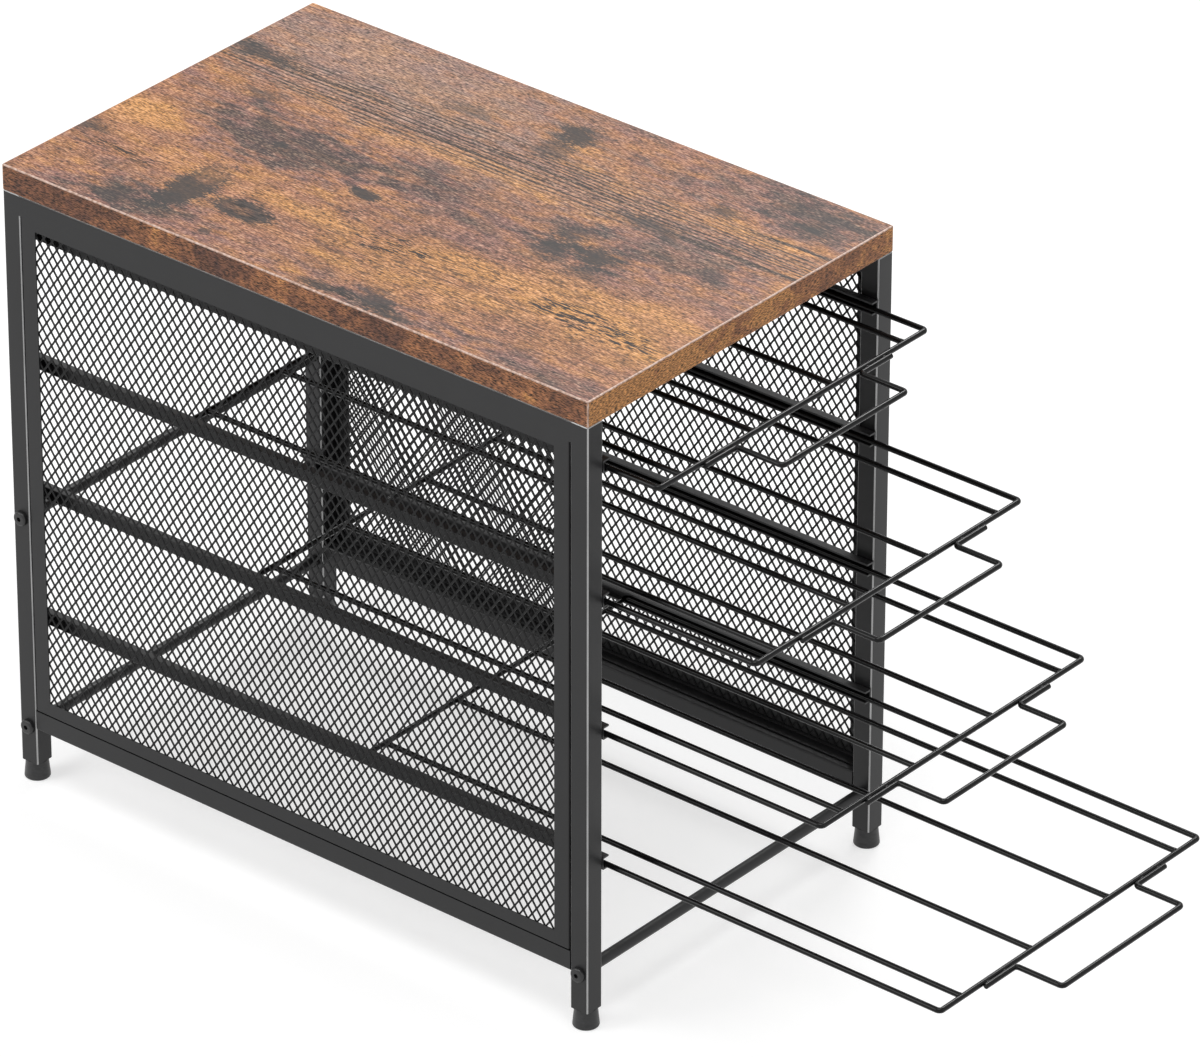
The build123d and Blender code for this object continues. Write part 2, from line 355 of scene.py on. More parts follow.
def grain_lines(tree, points, colour, raggedness, fine_edge):
    """Straight grain lines over a colour, mostly in their band, and the long dark ones."""
    sway = grain(tree, points, (9.0, 60.0, 20.0), detail=2.0)
    wavy = add(tree, "ShaderNodeVectorMath", {
        0: sway.outputs["Color"], 1: (5.0, 0.0, 0.0), 2: points,
    }, operation="MULTIPLY_ADD")
    across = add(tree, "ShaderNodeSeparateXYZ", {0: wavy.outputs[0]})
    angle = add(tree, "ShaderNodeMath", {
        0: across.outputs["X"], 1: 2 * math.pi / GRAIN_LINE_PITCH,
    }, operation="MULTIPLY")
    wave = add(tree, "ShaderNodeMath", {0: angle.outputs[0]}, operation="SINE")
    broken = grain(tree, points, (2.4, 40.0, 20.0), detail=2.0)
    lines = add(tree, "ShaderNodeMath", {
        0: wave.outputs[0], 1: 0.28, 2: broken.outputs["Fac"],
    }, operation="MULTIPLY_ADD")
    depth = add(tree, "ShaderNodeMapRange", {
        "Value": lines.outputs[0], "From Min": 0.46, "From Max": 0.72,
    }, interpolation_type="SMOOTHSTEP")
    band = soft_areas(tree, points, raggedness, GRAIN_LINE_BAND)
    mask = add(tree, "ShaderNodeMath", {0: band, 1: 0.88, 2: 0.12}, operation="MULTIPLY_ADD")
    mask = add(tree, "ShaderNodeMath", {0: mask.outputs[0], 1: depth.outputs[0]}, operation="MULTIPLY")
    mask = soft_areas(tree, wavy.outputs[0], fine_edge, LINE_AREAS, mask.outputs[0])
    return add(tree, "ShaderNodeMixRGB", {
        "Fac": mask, "Color1": colour, "Color2": linear("#35251E"),
    }, use_clamp=True).outputs[0]


def printed_fibres(tree, points, colour, fibre):
    """Pale, light and dark fibres over a colour."""
    streak = grain(tree, points, (0.9, 9.0, 3.0), detail=2.0)
    texture = add(tree, "ShaderNodeMix", {"Factor": 0.40, "A": fibre, "B": streak.outputs["Fac"]}).outputs[0]
    pale = add(tree, "ShaderNodeMapRange", {
        "Value": texture, "From Min": 0.50, "From Max": 0.66, "To Max": 0.36,
    })
    flecked = add(tree, "ShaderNodeMixRGB", {
        "Fac": pale.outputs[0], "Color1": colour, "Color2": linear("#A8917A"),
    })
    return wood_shade(tree, flecked.outputs[0], texture, 0.12, 2.0)


def smoke_stains(tree, points, warped, colour, raggedness, fine_edge):
    """Knots and smoke grey stains over a colour, which nearly hide its fibres."""
    firm_edge = add(tree, "ShaderNodeMath", {0: raggedness, 1: 0.4, 2: fine_edge}, operation="MULTIPLY_ADD")
    ragged_edge = add(tree, "ShaderNodeMath", {0: fine_edge, 1: raggedness}, operation="ADD")
    uneven = add(tree, "ShaderNodeMath", {0: raggedness, 1: -0.3, 2: 1.0}, operation="MULTIPLY_ADD")
    knots = soft_areas(tree, points, firm_edge.outputs[0], KNOT_AREAS, blur=0.25)
    smoke = soft_areas(tree, warped, ragged_edge.outputs[0], SMOKE_AREAS, knots, blur=0.58)
    smoke = add(tree, "ShaderNodeMath", {0: smoke, 1: uneven.outputs[0]}, operation="MULTIPLY")
    smoke = add(tree, "ShaderNodeMath", {0: smoke.outputs[0], 1: 0.90}, operation="MINIMUM")
    return add(tree, "ShaderNodeMixRGB", {
        "Fac": smoke.outputs[0], "Color1": colour, "Color2": linear("#2B2A29"),
    }, use_clamp=True).outputs[0]


def printed_cracks(tree, points, raggedness):
    """How much of a crack there is at a point, from 0 to 1."""
    split = grain(tree, points, (0.9, 8.0, 4.0), detail=4.0, distortion=0.8)
    place = soft_areas(tree, points, raggedness, CRACK_AREAS)
    depth = add(tree, "ShaderNodeMapRange", {
        "Value": split.outputs["Fac"], "From Min": 0.52, "From Max": 0.57,
    }, interpolation_type="SMOOTHSTEP")
    crack = add(tree, "ShaderNodeMath", {0: place, 1: depth.outputs[0]}, operation="MULTIPLY", use_clamp=True)
    return crack.outputs[0]


def board_laminate():
    """Melamine paper printed as rustic pine on chipboard: satin, with a faint pressed grain."""
    material, tree, shader, points = start_material("rustic_melamine_print", Specular_IOR_Level=0.33)
    fibre = grain(tree, points, (0.45, 2.2, 1.2), detail=1.0).outputs["Fac"]
    mottle = grain(tree, points, (4.0, 13.0, 8.0), detail=5.0).outputs["Fac"]
    bend = grain(tree, points, (10.0, 18.0, 20.0), detail=5.0)
    centred = add(tree, "ShaderNodeVectorMath", {
        0: bend.outputs["Color"], 1: (0.5, 0.5, 0.5),
    }, operation="SUBTRACT")
    warped = add(tree, "ShaderNodeVectorMath", {
        0: centred.outputs[0], 1: (5.0, 9.0, 0.0), 2: points,
    }, operation="MULTIPLY_ADD").outputs[0]
    fine_edge = add(tree, "ShaderNodeMath", {0: fibre, 1: 1.2, 2: -0.6}, operation="MULTIPLY_ADD").outputs[0]
    raggedness = add(tree, "ShaderNodeMath", {
        0: mottle, 1: 1.7, 2: -0.85,
    }, operation="MULTIPLY_ADD").outputs[0]

    colour = wood_tone(tree, points, warped, raggedness)
    colour = grain_lines(tree, points, colour, raggedness, fine_edge)
    colour = printed_fibres(tree, points, colour, fibre)
    colour = smoke_stains(tree, points, warped, colour, raggedness, fine_edge)
    crack = printed_cracks(tree, points, raggedness)
    cracked = add(tree, "ShaderNodeMixRGB", {"Fac": crack, "Color1": colour, "Color2": linear("#1C130E")})

    relief = add(tree, "ShaderNodeMath", {0: crack, 1: -0.8, 2: fibre}, operation="MULTIPLY_ADD")
    bump = add(tree, "ShaderNodeBump", {"Height": relief.outputs[0], "Strength": 0.4, "Distance": 0.04 * MM})
    gloss = add(tree, "ShaderNodeMapRange", {"Value": mottle, "To Min": 0.38, "To Max": 0.54})
    connect(tree, shader, Base_Color=cracked.outputs[0], Roughness=gloss.outputs[0], Normal=bump.outputs[0])
    return material


def edge_band():
    """Printed edge tape on the board's sides: fine rows of short fibres along the tape, with painted light on
    the front and rear tape.
    """
    material, tree, shader, points = start_material("printed_edge_tape", Roughness=0.5,
                                                    Specular_IOR_Level=0.3)
    fibre = grain(tree, points, (1.9, 1.9, 0.38), detail=3.0)
    mottle = grain(tree, points, (7.0, 7.0, 5.0), detail=3.0)
    broad = grain(tree, points, (40.0, 40.0, 60.0), detail=1.0)
    low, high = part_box("top_board")
    half_depth = (high.y - low.y) / 2 / MM
    place = add(tree, "ShaderNodeSeparateXYZ", {0: points})
    depth = add(tree, "ShaderNodeMath", {0: place.outputs["Y"]}, operation="ABSOLUTE")
    at_ends = add(tree, "ShaderNodeMapRange", {
        "Value": depth.outputs[0], "From Min": half_depth - 1.0, "From Max": half_depth - 0.4,
    })
    # Painted light: the tape on the front and rear is lighter than on the sides, more so towards the left,
    # for the light on the front face.
    painted_light_leftwards = add(tree, "ShaderNodeMapRange", {
        "Value": place.outputs["X"], "From Min": 10.0, "From Max": -70.0, "To Min": 0.18, "To Max": 0.44,
    })
    painted_light_on_ends = add(tree, "ShaderNodeMath", {
        0: at_ends.outputs[0], 1: painted_light_leftwards.outputs[0],
    }, operation="MULTIPLY")
    tone = add(tree, "ShaderNodeMath", {
        0: broad.outputs["Fac"], 1: 0.7, 2: painted_light_on_ends.outputs[0],
    }, operation="MULTIPLY_ADD")
    tone = add(tree, "ShaderNodeMath", {
        0: mottle.outputs["Fac"], 1: 0.7, 2: tone.outputs[0],
    }, operation="MULTIPLY_ADD")
    wood = add(tree, "ShaderNodeValToRGB", {"Fac": tone.outputs[0]}, stops=[
        (0.48, "#432D27"), (0.69, "#694532"), (0.89, "#8E5F3F"), (1.0, "#A97748"),
    ])
    shaded = wood_shade(tree, wood.outputs[0], fibre.outputs["Fac"], 0.06, 2.2)
    bump = add(tree, "ShaderNodeBump", {
        "Height": fibre.outputs["Fac"], "Strength": 0.5, "Distance": 0.05 * MM,
    })
    connect(tree, shader, Base_Color=shaded, Normal=bump.outputs[0])
    return material


def trimmed_edge_and_highlight():
    """Pale, slightly uneven line: the trimmed joint of the tape and the top paper on the upper and upright
    edges, and a painted highlight on the lower edges.
    """
    material, tree, shader, points = start_material("trimmed_tape_edge_and_painted_highlight", Roughness=0.45)
    wear = grain(tree, points, (1.5, 1.5, 1.5), detail=3.0)
    colour = add(tree, "ShaderNodeValToRGB", {"Fac": wear.outputs["Fac"]}, stops=[
        (0.36, "#A88775"), (0.52, "#CDAE9E"), (0.70, "#DEC6BA"),
    ])
    connect(tree, shader, Base_Color=colour.outputs[0])
    return material


def powder_coat(name, dark, light, roughness, peel=0.55, metallic=0.0, specular=0.5):
    """Powder coat on steel: an even colour with a slight orange peel and small changes of gloss."""
    material, tree, shader, points = start_material(name, Metallic=metallic, Specular_IOR_Level=specular)
    ripple = grain(tree, points, (peel, peel, peel), detail=1.0)
    cloud = grain(tree, points, (14.0, 14.0, 22.0), detail=3.0)
    speck = add(tree, "ShaderNodeMath", {
        0: ripple.outputs["Fac"], 1: 0.35, 2: cloud.outputs["Fac"],
    }, operation="MULTIPLY_ADD")
    colour = add(tree, "ShaderNodeValToRGB", {"Fac": speck.outputs[0]}, stops=[(0.42, dark), (0.95, light)])
    gloss = add(tree, "ShaderNodeMapRange", {
        "Value": cloud.outputs["Fac"], "To Min": roughness - 0.08, "To Max": roughness + 0.08,
    })
    bump = add(tree, "ShaderNodeBump", {
        "Height": ripple.outputs["Fac"], "Strength": 0.35, "Distance": 0.03 * MM,
    })
    connect(tree, shader, Base_Color=colour.outputs[0], Roughness=gloss.outputs[0], Normal=bump.outputs[0])
    return material


def moulded_plastic():
    """Polyethylene feet with the fine matt grain of an eroded mould."""
    material, tree, shader, points = start_material("moulded_polyethylene", Roughness=0.42)
    pits = grain(tree, points, (0.35, 0.35, 0.35), detail=2.0)
    scuff = grain(tree, points, (2.5, 2.5, 1.2), detail=3.0)
    colour = add(tree, "ShaderNodeValToRGB", {"Fac": scuff.outputs["Fac"]}, stops=[
        (0.35, "#171718"), (0.70, "#2A2A2B"),
    ])
    bump = add(tree, "ShaderNodeBump", {
        "Height": pits.outputs["Fac"], "Strength": 0.5, "Distance": 0.03 * MM,
    })
    connect(tree, shader, Base_Color=colour.outputs[0], Normal=bump.outputs[0])
    return material


def zinc_plate():
    """Zinc plated screws: bright grey metal with faint cloudy spangle."""
    material, tree, shader, points = start_material("zinc_plated_steel", Metallic=1.0)
    spangle = grain(tree, points, (0.8, 0.8, 0.8), detail=3.0)
    colour = add(tree, "ShaderNodeValToRGB", {"Fac": spangle.outputs["Fac"]}, stops=[
        (0.35, "#9EA0A0"), (0.70, "#C4C4BE"),
    ])
    gloss = add(tree, "ShaderNodeMapRange", {
        "Value": spangle.outputs["Fac"], "To Min": 0.28, "To Max": 0.46,
    })
    connect(tree, shader, Base_Color=colour.outputs[0], Roughness=gloss.outputs[0])
    return material


# Mesh making


def block(bm, low, high):
    """Add a box between two corners."""
    verts = bmesh.ops.create_cube(bm, size=1.0)["verts"]
    bmesh.ops.scale(bm, vec=Vector(high) - Vector(low), verts=verts)
    bmesh.ops.translate(bm, vec=(Vector(low) + Vector(high)) / 2, verts=verts)
    return verts


def everything(bm):
    """All the geometry of a mesh, as bisecting needs it."""
    return bm.verts[:] + bm.edges[:] + bm.faces[:]


def round_edges(bm, edges, radius, segments):
    """Round edges off, and give the faces that this makes."""
    made = bmesh.ops.bevel(bm, geom=edges, offset=radius, segments=segments, profile=0.5,
                           affect="EDGES", material=-1, clamp_overlap=True)
    return made["faces"]


def runs_along(edge, axis):
    """True where an edge is parallel to an axis, given as 0, 1 or 2."""
    line = (edge.verts[1].co - edge.verts[0].co).normalized()
    return abs(line[axis]) > PARALLEL


def finish_piece(name, bm, materials, body, nodes, mirrored=False):
    """Make the mesh a piece that rides on its body and stands for its CAD nodes."""
    if mirrored:
        bmesh.ops.scale(bm, vec=(-1, 1, 1), verts=bm.verts)
    bmesh.ops.recalc_face_normals(bm, faces=bm.faces)
    mesh = bpy.data.meshes.new(name)
    bm.to_mesh(mesh)
    bm.free()
    for material in materials:
        mesh.materials.append(material)
    mesh.shade_smooth()
    mesh.set_sharp_from_angle(angle=SHARP_ANGLE)
    piece = bpy.data.objects.new(name, mesh)
    bpy.context.scene.collection.objects.link(piece)
    # Keeps flat faces flat beside their rounded edges
    piece.modifiers.new("flat_faces", "WEIGHTED_NORMAL").keep_sharp = True
    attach(piece, body)
    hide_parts(*nodes)
    return piece


def make_board():
    """Board with its edges trimmed, the lower ones less than the others and painted as a highlight."""
    bm = bmesh.new()
    low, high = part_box("top_board")
    block(bm, low, high)
    for face in bm.faces:
        face.material_index = 0 if abs(face.normal.z) > FACING else 1
    edges = [e for e in bm.edges if runs_along(e, 2) or min(v.co.z for v in e.verts) > high.z - MM]
    for face in round_edges(bm, edges, BOARD_BEVEL, 2):
        face.material_index = 2
    # The pale line on the lower edges is a painted highlight under the board's edge.
    lower = [e for e in bm.edges if all(v.co.z < low.z + TINY for v in e.verts)]
    for face in round_edges(bm, lower, BOARD_LOWER_BEVEL, 1):
        face.material_index = 2
    return bm


def square_tube(low, high, axis, painted_highlight=None, sharp=None, broken_top=0.0):
    """Rounded square tube with open ends along an axis.

    The rounded faces that the highlight test picks by their normals get the second material, a painted
    highlight, and the edges that sharp picks stay sharp.
    The upper end's outer edge may be broken by a width, which gets the painted highlight as well.
    """
    bm = bmesh.new()
    block(bm, low, high)
    edges = [e for e in bm.edges if runs_along(e, axis) and not (sharp and sharp(e))]
    corners = round_edges(bm, edges, TUBE_CORNER, 4)
    bm.normal_update()
    for face in corners:
        face.material_index = 1 if painted_highlight and painted_highlight(face.normal) else 0
    if broken_top:
        upper = [f for f in bm.faces if f.normal[axis] > FACING][0]
        for face in round_edges(bm, upper.edges[:], broken_top, 1):
            face.material_index = 1
    ends = [f for f in bm.faces if abs(f.normal[axis]) > FACING]
    for face in ends:
        wall = TUBE_WALL - broken_top if face.normal[axis] > 0 else TUBE_WALL
        bmesh.ops.inset_individual(bm, faces=[face], thickness=wall, use_even_offset=True)
    bmesh.ops.delete(bm, geom=ends, context="FACES")
    bmesh.ops.remove_doubles(bm, verts=bm.verts, dist=TUBE_MERGE)
    rims = [e for e in bm.edges if e.is_boundary]
    made = bmesh.ops.bridge_loops(bm, edges=rims)
    for face in made["faces"]:
        face.material_index = 0
    return bm


def make_leg(end):
    """Leg of the left side, with a painted highlight on the middle of its rounded corners and on the broken
    edge under the board.
    """
    def corner_middle(normal):
        return min(abs(normal.x), abs(normal.y)) > 0.5

    return square_tube(*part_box(f"{end}_left_leg"), 2, painted_highlight=corner_middle, broken_top=LEG_TOP_EDGE)


def make_top_rail():
    """Upper rail of the left side, ground flush with the legs and with the sheet below it."""
    low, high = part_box("left_top_rail")
    low = Vector((low.x, low.y - TUBE_CORNER, low.z))
    high = Vector((high.x, high.y + TUBE_CORNER, high.z))

    def lower_outer(edge):
        return all(v.co.x < low.x + MM and v.co.z < low.z + MM for v in edge.verts)

    # Its upper outer corner gets the painted highlight, the light line under the board.
    def upper_corner(normal):
        return normal.x < -0.5 and normal.z > 0.7

    return square_tube(low, high, 1, painted_highlight=upper_corner, sharp=lower_outer)


def make_bottom_rail():
    """Lower rail of the left side, square where it meets the sheet above it."""
    low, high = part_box("left_bottom_rail")

    def upper_outer(edge):
        return all(v.co.x < low.x + MM and v.co.z > high.z - MM for v in edge.verts)

    return square_tube(low, high, 1, sharp=upper_outer)


def make_panel_frame():
    """Sheet frame of the left side, folded inwards beside the legs and at the bottom."""
    low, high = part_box("left_panel_frame")
    bm = bmesh.new()
    bmesh.ops.create_grid(bm, x_segments=1, y_segments=1, size=0.5)
    span_y = high.y - low.y
    span_z = high.z - low.z
    stand_up = Matrix(((0, 0, -1, low.x), (-span_y, 0, 0, (low.y + high.y) / 2),
                       (0, span_z, 0, (low.z + high.z) / 2), (0, 0, 0, 1)))
    bmesh.ops.transform(bm, matrix=stand_up, verts=bm.verts)
    window_low = Vector((low.x, low.y + PANEL_STILE, low.z + PANEL_BOTTOM_BAND))
    window_high = Vector((low.x, high.y - PANEL_STILE, high.z - PANEL_TOP_BAND))
    for place in (window_low, window_high):
        for direction in ((0, 1, 0), (0, 0, 1)):
            bmesh.ops.bisect_plane(bm, geom=everything(bm), plane_co=place, plane_no=direction)
    window = [f for f in bm.faces
              if window_low.y < f.calc_center_median().y < window_high.y
              and window_low.z < f.calc_center_median().z < window_high.z]
    bmesh.ops.delete(bm, geom=window, context="FACES")
    folds = [e for e in bm.edges if e.is_boundary
             and (all(abs(v.co.y - low.y) < MM for v in e.verts)
                  or all(abs(v.co.y - high.y) < MM for v in e.verts)
                  or all(abs(v.co.z - low.z) < MM for v in e.verts))]
    made = bmesh.ops.extrude_edge_only(bm, edges=folds)["geom"]
    new_verts = [g for g in made if isinstance(g, bmesh.types.BMVert)]
    bmesh.ops.translate(bm, vec=(high.x - low.x, 0, 0), verts=new_verts)
    bends = [e for e in bm.edges if len(e.link_faces) == 2 and e.calc_face_angle() > SHARP_ANGLE]
    round_edges(bm, bends, PANEL_BEND, 3)
    bmesh.ops.solidify(bm, geom=bm.faces[:], thickness=PANEL_SHEET)
    return bm


def make_net():
    """Expanded metal of the left side: a sheet of diamond gaps with thickened knuckles."""
    low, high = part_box("left_panel_net")
    board_low, board_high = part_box("top_board")
    start_y = (board_low.y + board_high.y) / 2 + NET_CELL_Y - NET_PITCH_ACROSS / 2
    start_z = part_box("front_left_leg")[0].z + NET_CELL_Z
    reach = ((high.y - low.y) / NET_PITCH_ACROSS + (high.z - low.z) / NET_PITCH_UP) / 2
    count = 2 * math.ceil(reach) + 4
    bm = bmesh.new()
    bmesh.ops.create_grid(bm, x_segments=count, y_segments=count, size=count / 2)
    across = NET_PITCH_ACROSS / 2
    up = NET_PITCH_UP / 2
    slant = Matrix(((0, 0, 1, low.x), (across, across, 0, start_y), (up, -up, 0, start_z), (0, 0, 0, 1)))
    bmesh.ops.transform(bm, matrix=slant, verts=bm.verts)
    for place, outward in ((low, (0, -1, 0)), (low, (0, 0, -1)), (high, (0, 1, 0)), (high, (0, 0, 1))):
        bmesh.ops.bisect_plane(bm, geom=everything(bm), plane_co=place, plane_no=outward, clear_outer=True)
    half_cell = across * up
    gaps = [f for f in bm.faces if f.calc_area() > half_cell]
    bmesh.ops.inset_individual(bm, faces=gaps, thickness=NET_STRAND / 2, use_even_offset=True)
    knuckles = set()
    for face in gaps:
        face.material_index = 1
        ordered = sorted(face.verts, key=lambda v: v.co.y)
        if len(ordered) == 4:
            knuckles.update((ordered[0], ordered[-1]))
    bmesh.ops.bevel(bm, geom=list(knuckles), offset=NET_KNUCKLE, segments=1, profile=0.5,
                    affect="VERTICES", material=-1, clamp_overlap=True)
    opened = [f for f in bm.faces if f.material_index and len(f.verts) > 3]
    bmesh.ops.delete(bm, geom=opened, context="FACES")
    for face in bm.faces:
        face.material_index = 0
    bmesh.ops.solidify(bm, geom=bm.faces[:], thickness=NET_THICKNESS)
    return bm


def make_runner(number):
    """Channel of the left side, open towards the middle, with its stop block."""
    low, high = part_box(f"left_runner_{number}")
    bm = bmesh.new()
    block(bm, low, high)
    opened = [f for f in bm.faces if f.normal.x > FACING or abs(f.normal.y) > FACING]
    bmesh.ops.delete(bm, geom=opened, context="FACES")
    bends = [e for e in bm.edges if len(e.link_faces) == 2]
    round_edges(bm, bends, RUNNER_SHEET, 3)
    bmesh.ops.solidify(bm, geom=bm.faces[:], thickness=RUNNER_SHEET)
    stop_end = high.y - RUNNER_STOP_INSET + RUNNER_STOP_WIDTH
    sheet = Vector((RUNNER_SHEET, 0, RUNNER_SHEET))
    stop_low = Vector((low.x, stop_end - RUNNER_STOP_WIDTH, low.z)) + sheet
    stop_high = Vector((high.x, stop_end, high.z)) - Vector((0, 0, RUNNER_SHEET))
    verts = block(bm, stop_low, stop_high)
    edges = list({e for v in verts for e in v.link_edges})
    round_edges(bm, edges, RUNNER_STOP_EDGE, 2)
    return bm


def wire_ring(bm, place, direction):
    """Ring of a wire's section, across a direction."""
    turn = Vector(direction).to_track_quat("Z", "Y").to_matrix().to_4x4()
    made = bmesh.ops.create_circle(bm, cap_ends=False, radius=WIRE_RADIUS, segments=WIRE_SIDES,
                                   matrix=Matrix.Translation(place) @ turn)
    return list({e for v in made["verts"] for e in v.link_edges})


def run_on(bm, rim, step, grow=1.0):
    """Extrude a wire's rim straight on, and give the new rim."""
    made = bmesh.ops.extrude_edge_only(bm, edges=rim)["geom"]
    verts = {g for g in made if isinstance(g, bmesh.types.BMVert)}
    bmesh.ops.translate(bm, vec=step, verts=list(verts))
    centre = sum((v.co for v in verts), Vector()) / len(verts)
    bmesh.ops.scale(bm, vec=(grow, grow, grow), space=Matrix.Translation(-centre), verts=list(verts))
    return [e for e in bm.edges if verts.issuperset(e.verts)]


def cut_end(bm, rim):
    """Close a wire's rim with a sawn end whose edge is broken."""
    cap = bmesh.ops.contextual_create(bm, geom=rim)["faces"]
    round_edges(bm, [e for f in cap for e in f.edges], WIRE_CUT, 2)


def bent_wire(bm, corners):
    """Wire along level corner points with round bends. It is closed if it ends where it starts."""
    corners = [Vector(c) for c in corners]
    direction = (corners[1] - corners[0]).normalized()
    first = wire_ring(bm, corners[0], direction)
    rim = first
    here = corners[0]
    for before, corner, after in zip(corners, corners[1:], corners[2:]):
        direction = (corner - before).normalized()
        onward = (after - corner).normalized()
        turn = direction.angle(onward)
        axis = direction.cross(onward).normalized()
        bend_start = corner - direction * WIRE_BEND * math.tan(turn / 2)
        centre = bend_start + axis.cross(direction) * WIRE_BEND
        rim = run_on(bm, rim, bend_start - here)
        made = bmesh.ops.spin(bm, geom=rim, cent=centre, axis=axis, angle=turn, steps=BEND_STEPS,
                              use_merge=False, use_duplicate=False)
        rim = [g for g in made["geom_last"] if isinstance(g, bmesh.types.BMEdge)]
        here = corner + onward * WIRE_BEND * math.tan(turn / 2)
    last = run_on(bm, rim, corners[-1] - here)
    if (corners[-1] - corners[0]).length < TINY:
        bmesh.ops.remove_doubles(bm, verts=bm.verts, dist=WIRE_MERGE)
    else:
        cut_end(bm, first)
        cut_end(bm, last)


def make_loop(number):
    """Outer wire of a drawer."""
    low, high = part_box(f"drawer_{number}_loop")
    level = (low.z + high.z) / 2
    left = low.x + WIRE_RADIUS
    right = high.x - WIRE_RADIUS
    front = low.y + WIRE_RADIUS
    rear = high.y - WIRE_RADIUS
    route = [(0, front), (right, front), (right, rear), (left, rear), (left, front), (0, front)]
    bm = bmesh.new()
    bent_wire(bm, [(x, y, level) for x, y in route])
    return bm


def make_slot_wires(number):
    """Four long wires of a drawer, lapped into both bars with a slight weld collar."""
    low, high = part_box(f"drawer_{number}_slot_wires")
    level = (low.z + high.z) / 2
    outer = high.x - WIRE_RADIUS
    inner = MIDDLE_SLOT_PITCH / 2
    bm = bmesh.new()
    for x in (-outer, -inner, inner, outer):
        rim = wire_ring(bm, (x, low.y - WELD_LAP, level), (0, 1, 0))
        first = rim
        rim = run_on(bm, rim, (0, WELD_LAP, 0), WELD_COLLAR)
        rim = run_on(bm, rim, (0, 2 * WELD_LAP, 0), 1 / WELD_COLLAR)
        rim = run_on(bm, rim, (0, high.y - low.y - 4 * WELD_LAP, 0))
        rim = run_on(bm, rim, (0, 2 * WELD_LAP, 0), WELD_COLLAR)
        rim = run_on(bm, rim, (0, WELD_LAP, 0), 1 / WELD_COLLAR)
        cut_end(bm, first)
        cut_end(bm, rim)
    return bm


def make_handle(number):
    """Hat shaped pull of a drawer, with the weld spots that hold its tails."""
    low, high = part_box(f"drawer_{number}_handle")
    level = (low.z + high.z) / 2
    reach = low.y + WIRE_RADIUS
    tail = high.y - WIRE_RADIUS
    half = HANDLE_HALF_WIDTH
    route = [(low.x, tail), (-half, tail), (-half, reach), (half, reach), (half, tail), (high.x, tail)]
    bm = bmesh.new()
    bent_wire(bm, [(x, y, level) for x, y in route])
    for side in SIDES.values():
        for x in (half + WELD_SPOT_FROM_BEND, high.x - WELD_SPOT_FROM_TIP):
            spot = bmesh.ops.create_uvsphere(bm, u_segments=12, v_segments=8, radius=1.0)["verts"]
            bmesh.ops.scale(bm, vec=WELD_SPOT_SIZE, verts=spot)
            bmesh.ops.translate(bm, vec=(side * x, high.y, level), verts=spot)
    return bm


def make_rod(name):
    """Cross rod with broken ends."""
    low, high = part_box(name)
    radius = (high.z - low.z) / 2
    bm = bmesh.new()
    place = Matrix.Translation((low + high) / 2) @ Matrix.Rotation(math.pi / 2, 4, "Y")
    bmesh.ops.create_cone(bm, cap_ends=True, segments=32, radius1=radius, radius2=radius,
                          depth=high.x - low.x, matrix=place)
    rims = [e for f in bm.faces if abs(f.normal.x) > FACING for e in f.edges]
    round_edges(bm, rims, ROD_EDGE, 2)
    return bm


def bolt_mesh():
    """Button head bolt with a hex socket, its head on the XY plane and its shank below."""
    bm = bmesh.new()
    bmesh.ops.create_cone(bm, cap_ends=True, segments=36, radius1=BOLT_HEAD_RADIUS,
                          radius2=BOLT_HEAD_RADIUS, depth=BOLT_HEAD_HEIGHT,
                          matrix=Matrix.Translation((0, 0, BOLT_HEAD_HEIGHT / 2)))
    crown = [f for f in bm.faces if f.normal.z > FACING]
    round_edges(bm, crown[0].edges[:], BOLT_HEAD_EDGE, 6)
    crown = [f for f in bm.faces if f.normal.z > PARALLEL and len(f.verts) > 4]
    bmesh.ops.delete(bm, geom=crown, context="FACES")
    rim = [e for e in bm.edges if e.is_boundary]
    hexagon = bmesh.ops.create_circle(bm, cap_ends=False, radius=SOCKET_RADIUS, segments=6,
                                      matrix=Matrix.Translation((0, 0, BOLT_HEAD_HEIGHT)))["verts"]
    mouth = list({e for v in hexagon for e in v.link_edges})
    bmesh.ops.bridge_loops(bm, edges=rim + mouth)
    floor = run_on(bm, mouth, (0, 0, -SOCKET_DEPTH))
    bmesh.ops.contextual_create(bm, geom=floor)
    bmesh.ops.create_cone(bm, cap_ends=True, segments=20, radius1=BOLT_SHANK_RADIUS,
                          radius2=BOLT_SHANK_RADIUS, depth=BOLT_SHANK_LENGTH,
                          matrix=Matrix.Translation((0, 0, -BOLT_SHANK_LENGTH / 2)))
    mesh = bpy.data.meshes.new("bolt")
    bm.to_mesh(mesh)
    bm.free()
    return mesh


def make_bolts():
    """Bolts in the legs, one at each end of each rod."""
    bolt = bolt_mesh()
    bm = bmesh.new()
    outer_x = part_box("front_right_leg")[1].x
    for rod in RODS:
        low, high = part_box(rod)
        middle = (low + high) / 2
        for side in SIDES.values():
            earlier = len(bm.verts)
            bm.from_mesh(bolt)
            place = Matrix.Translation((side * outer_x, middle.y, middle.z))
            bmesh.ops.transform(bm, matrix=place @ Matrix.Rotation(side * math.pi / 2, 4, "Y"),
                                verts=bm.verts[earlier:])
    bpy.data.meshes.remove(bolt)
    return bm


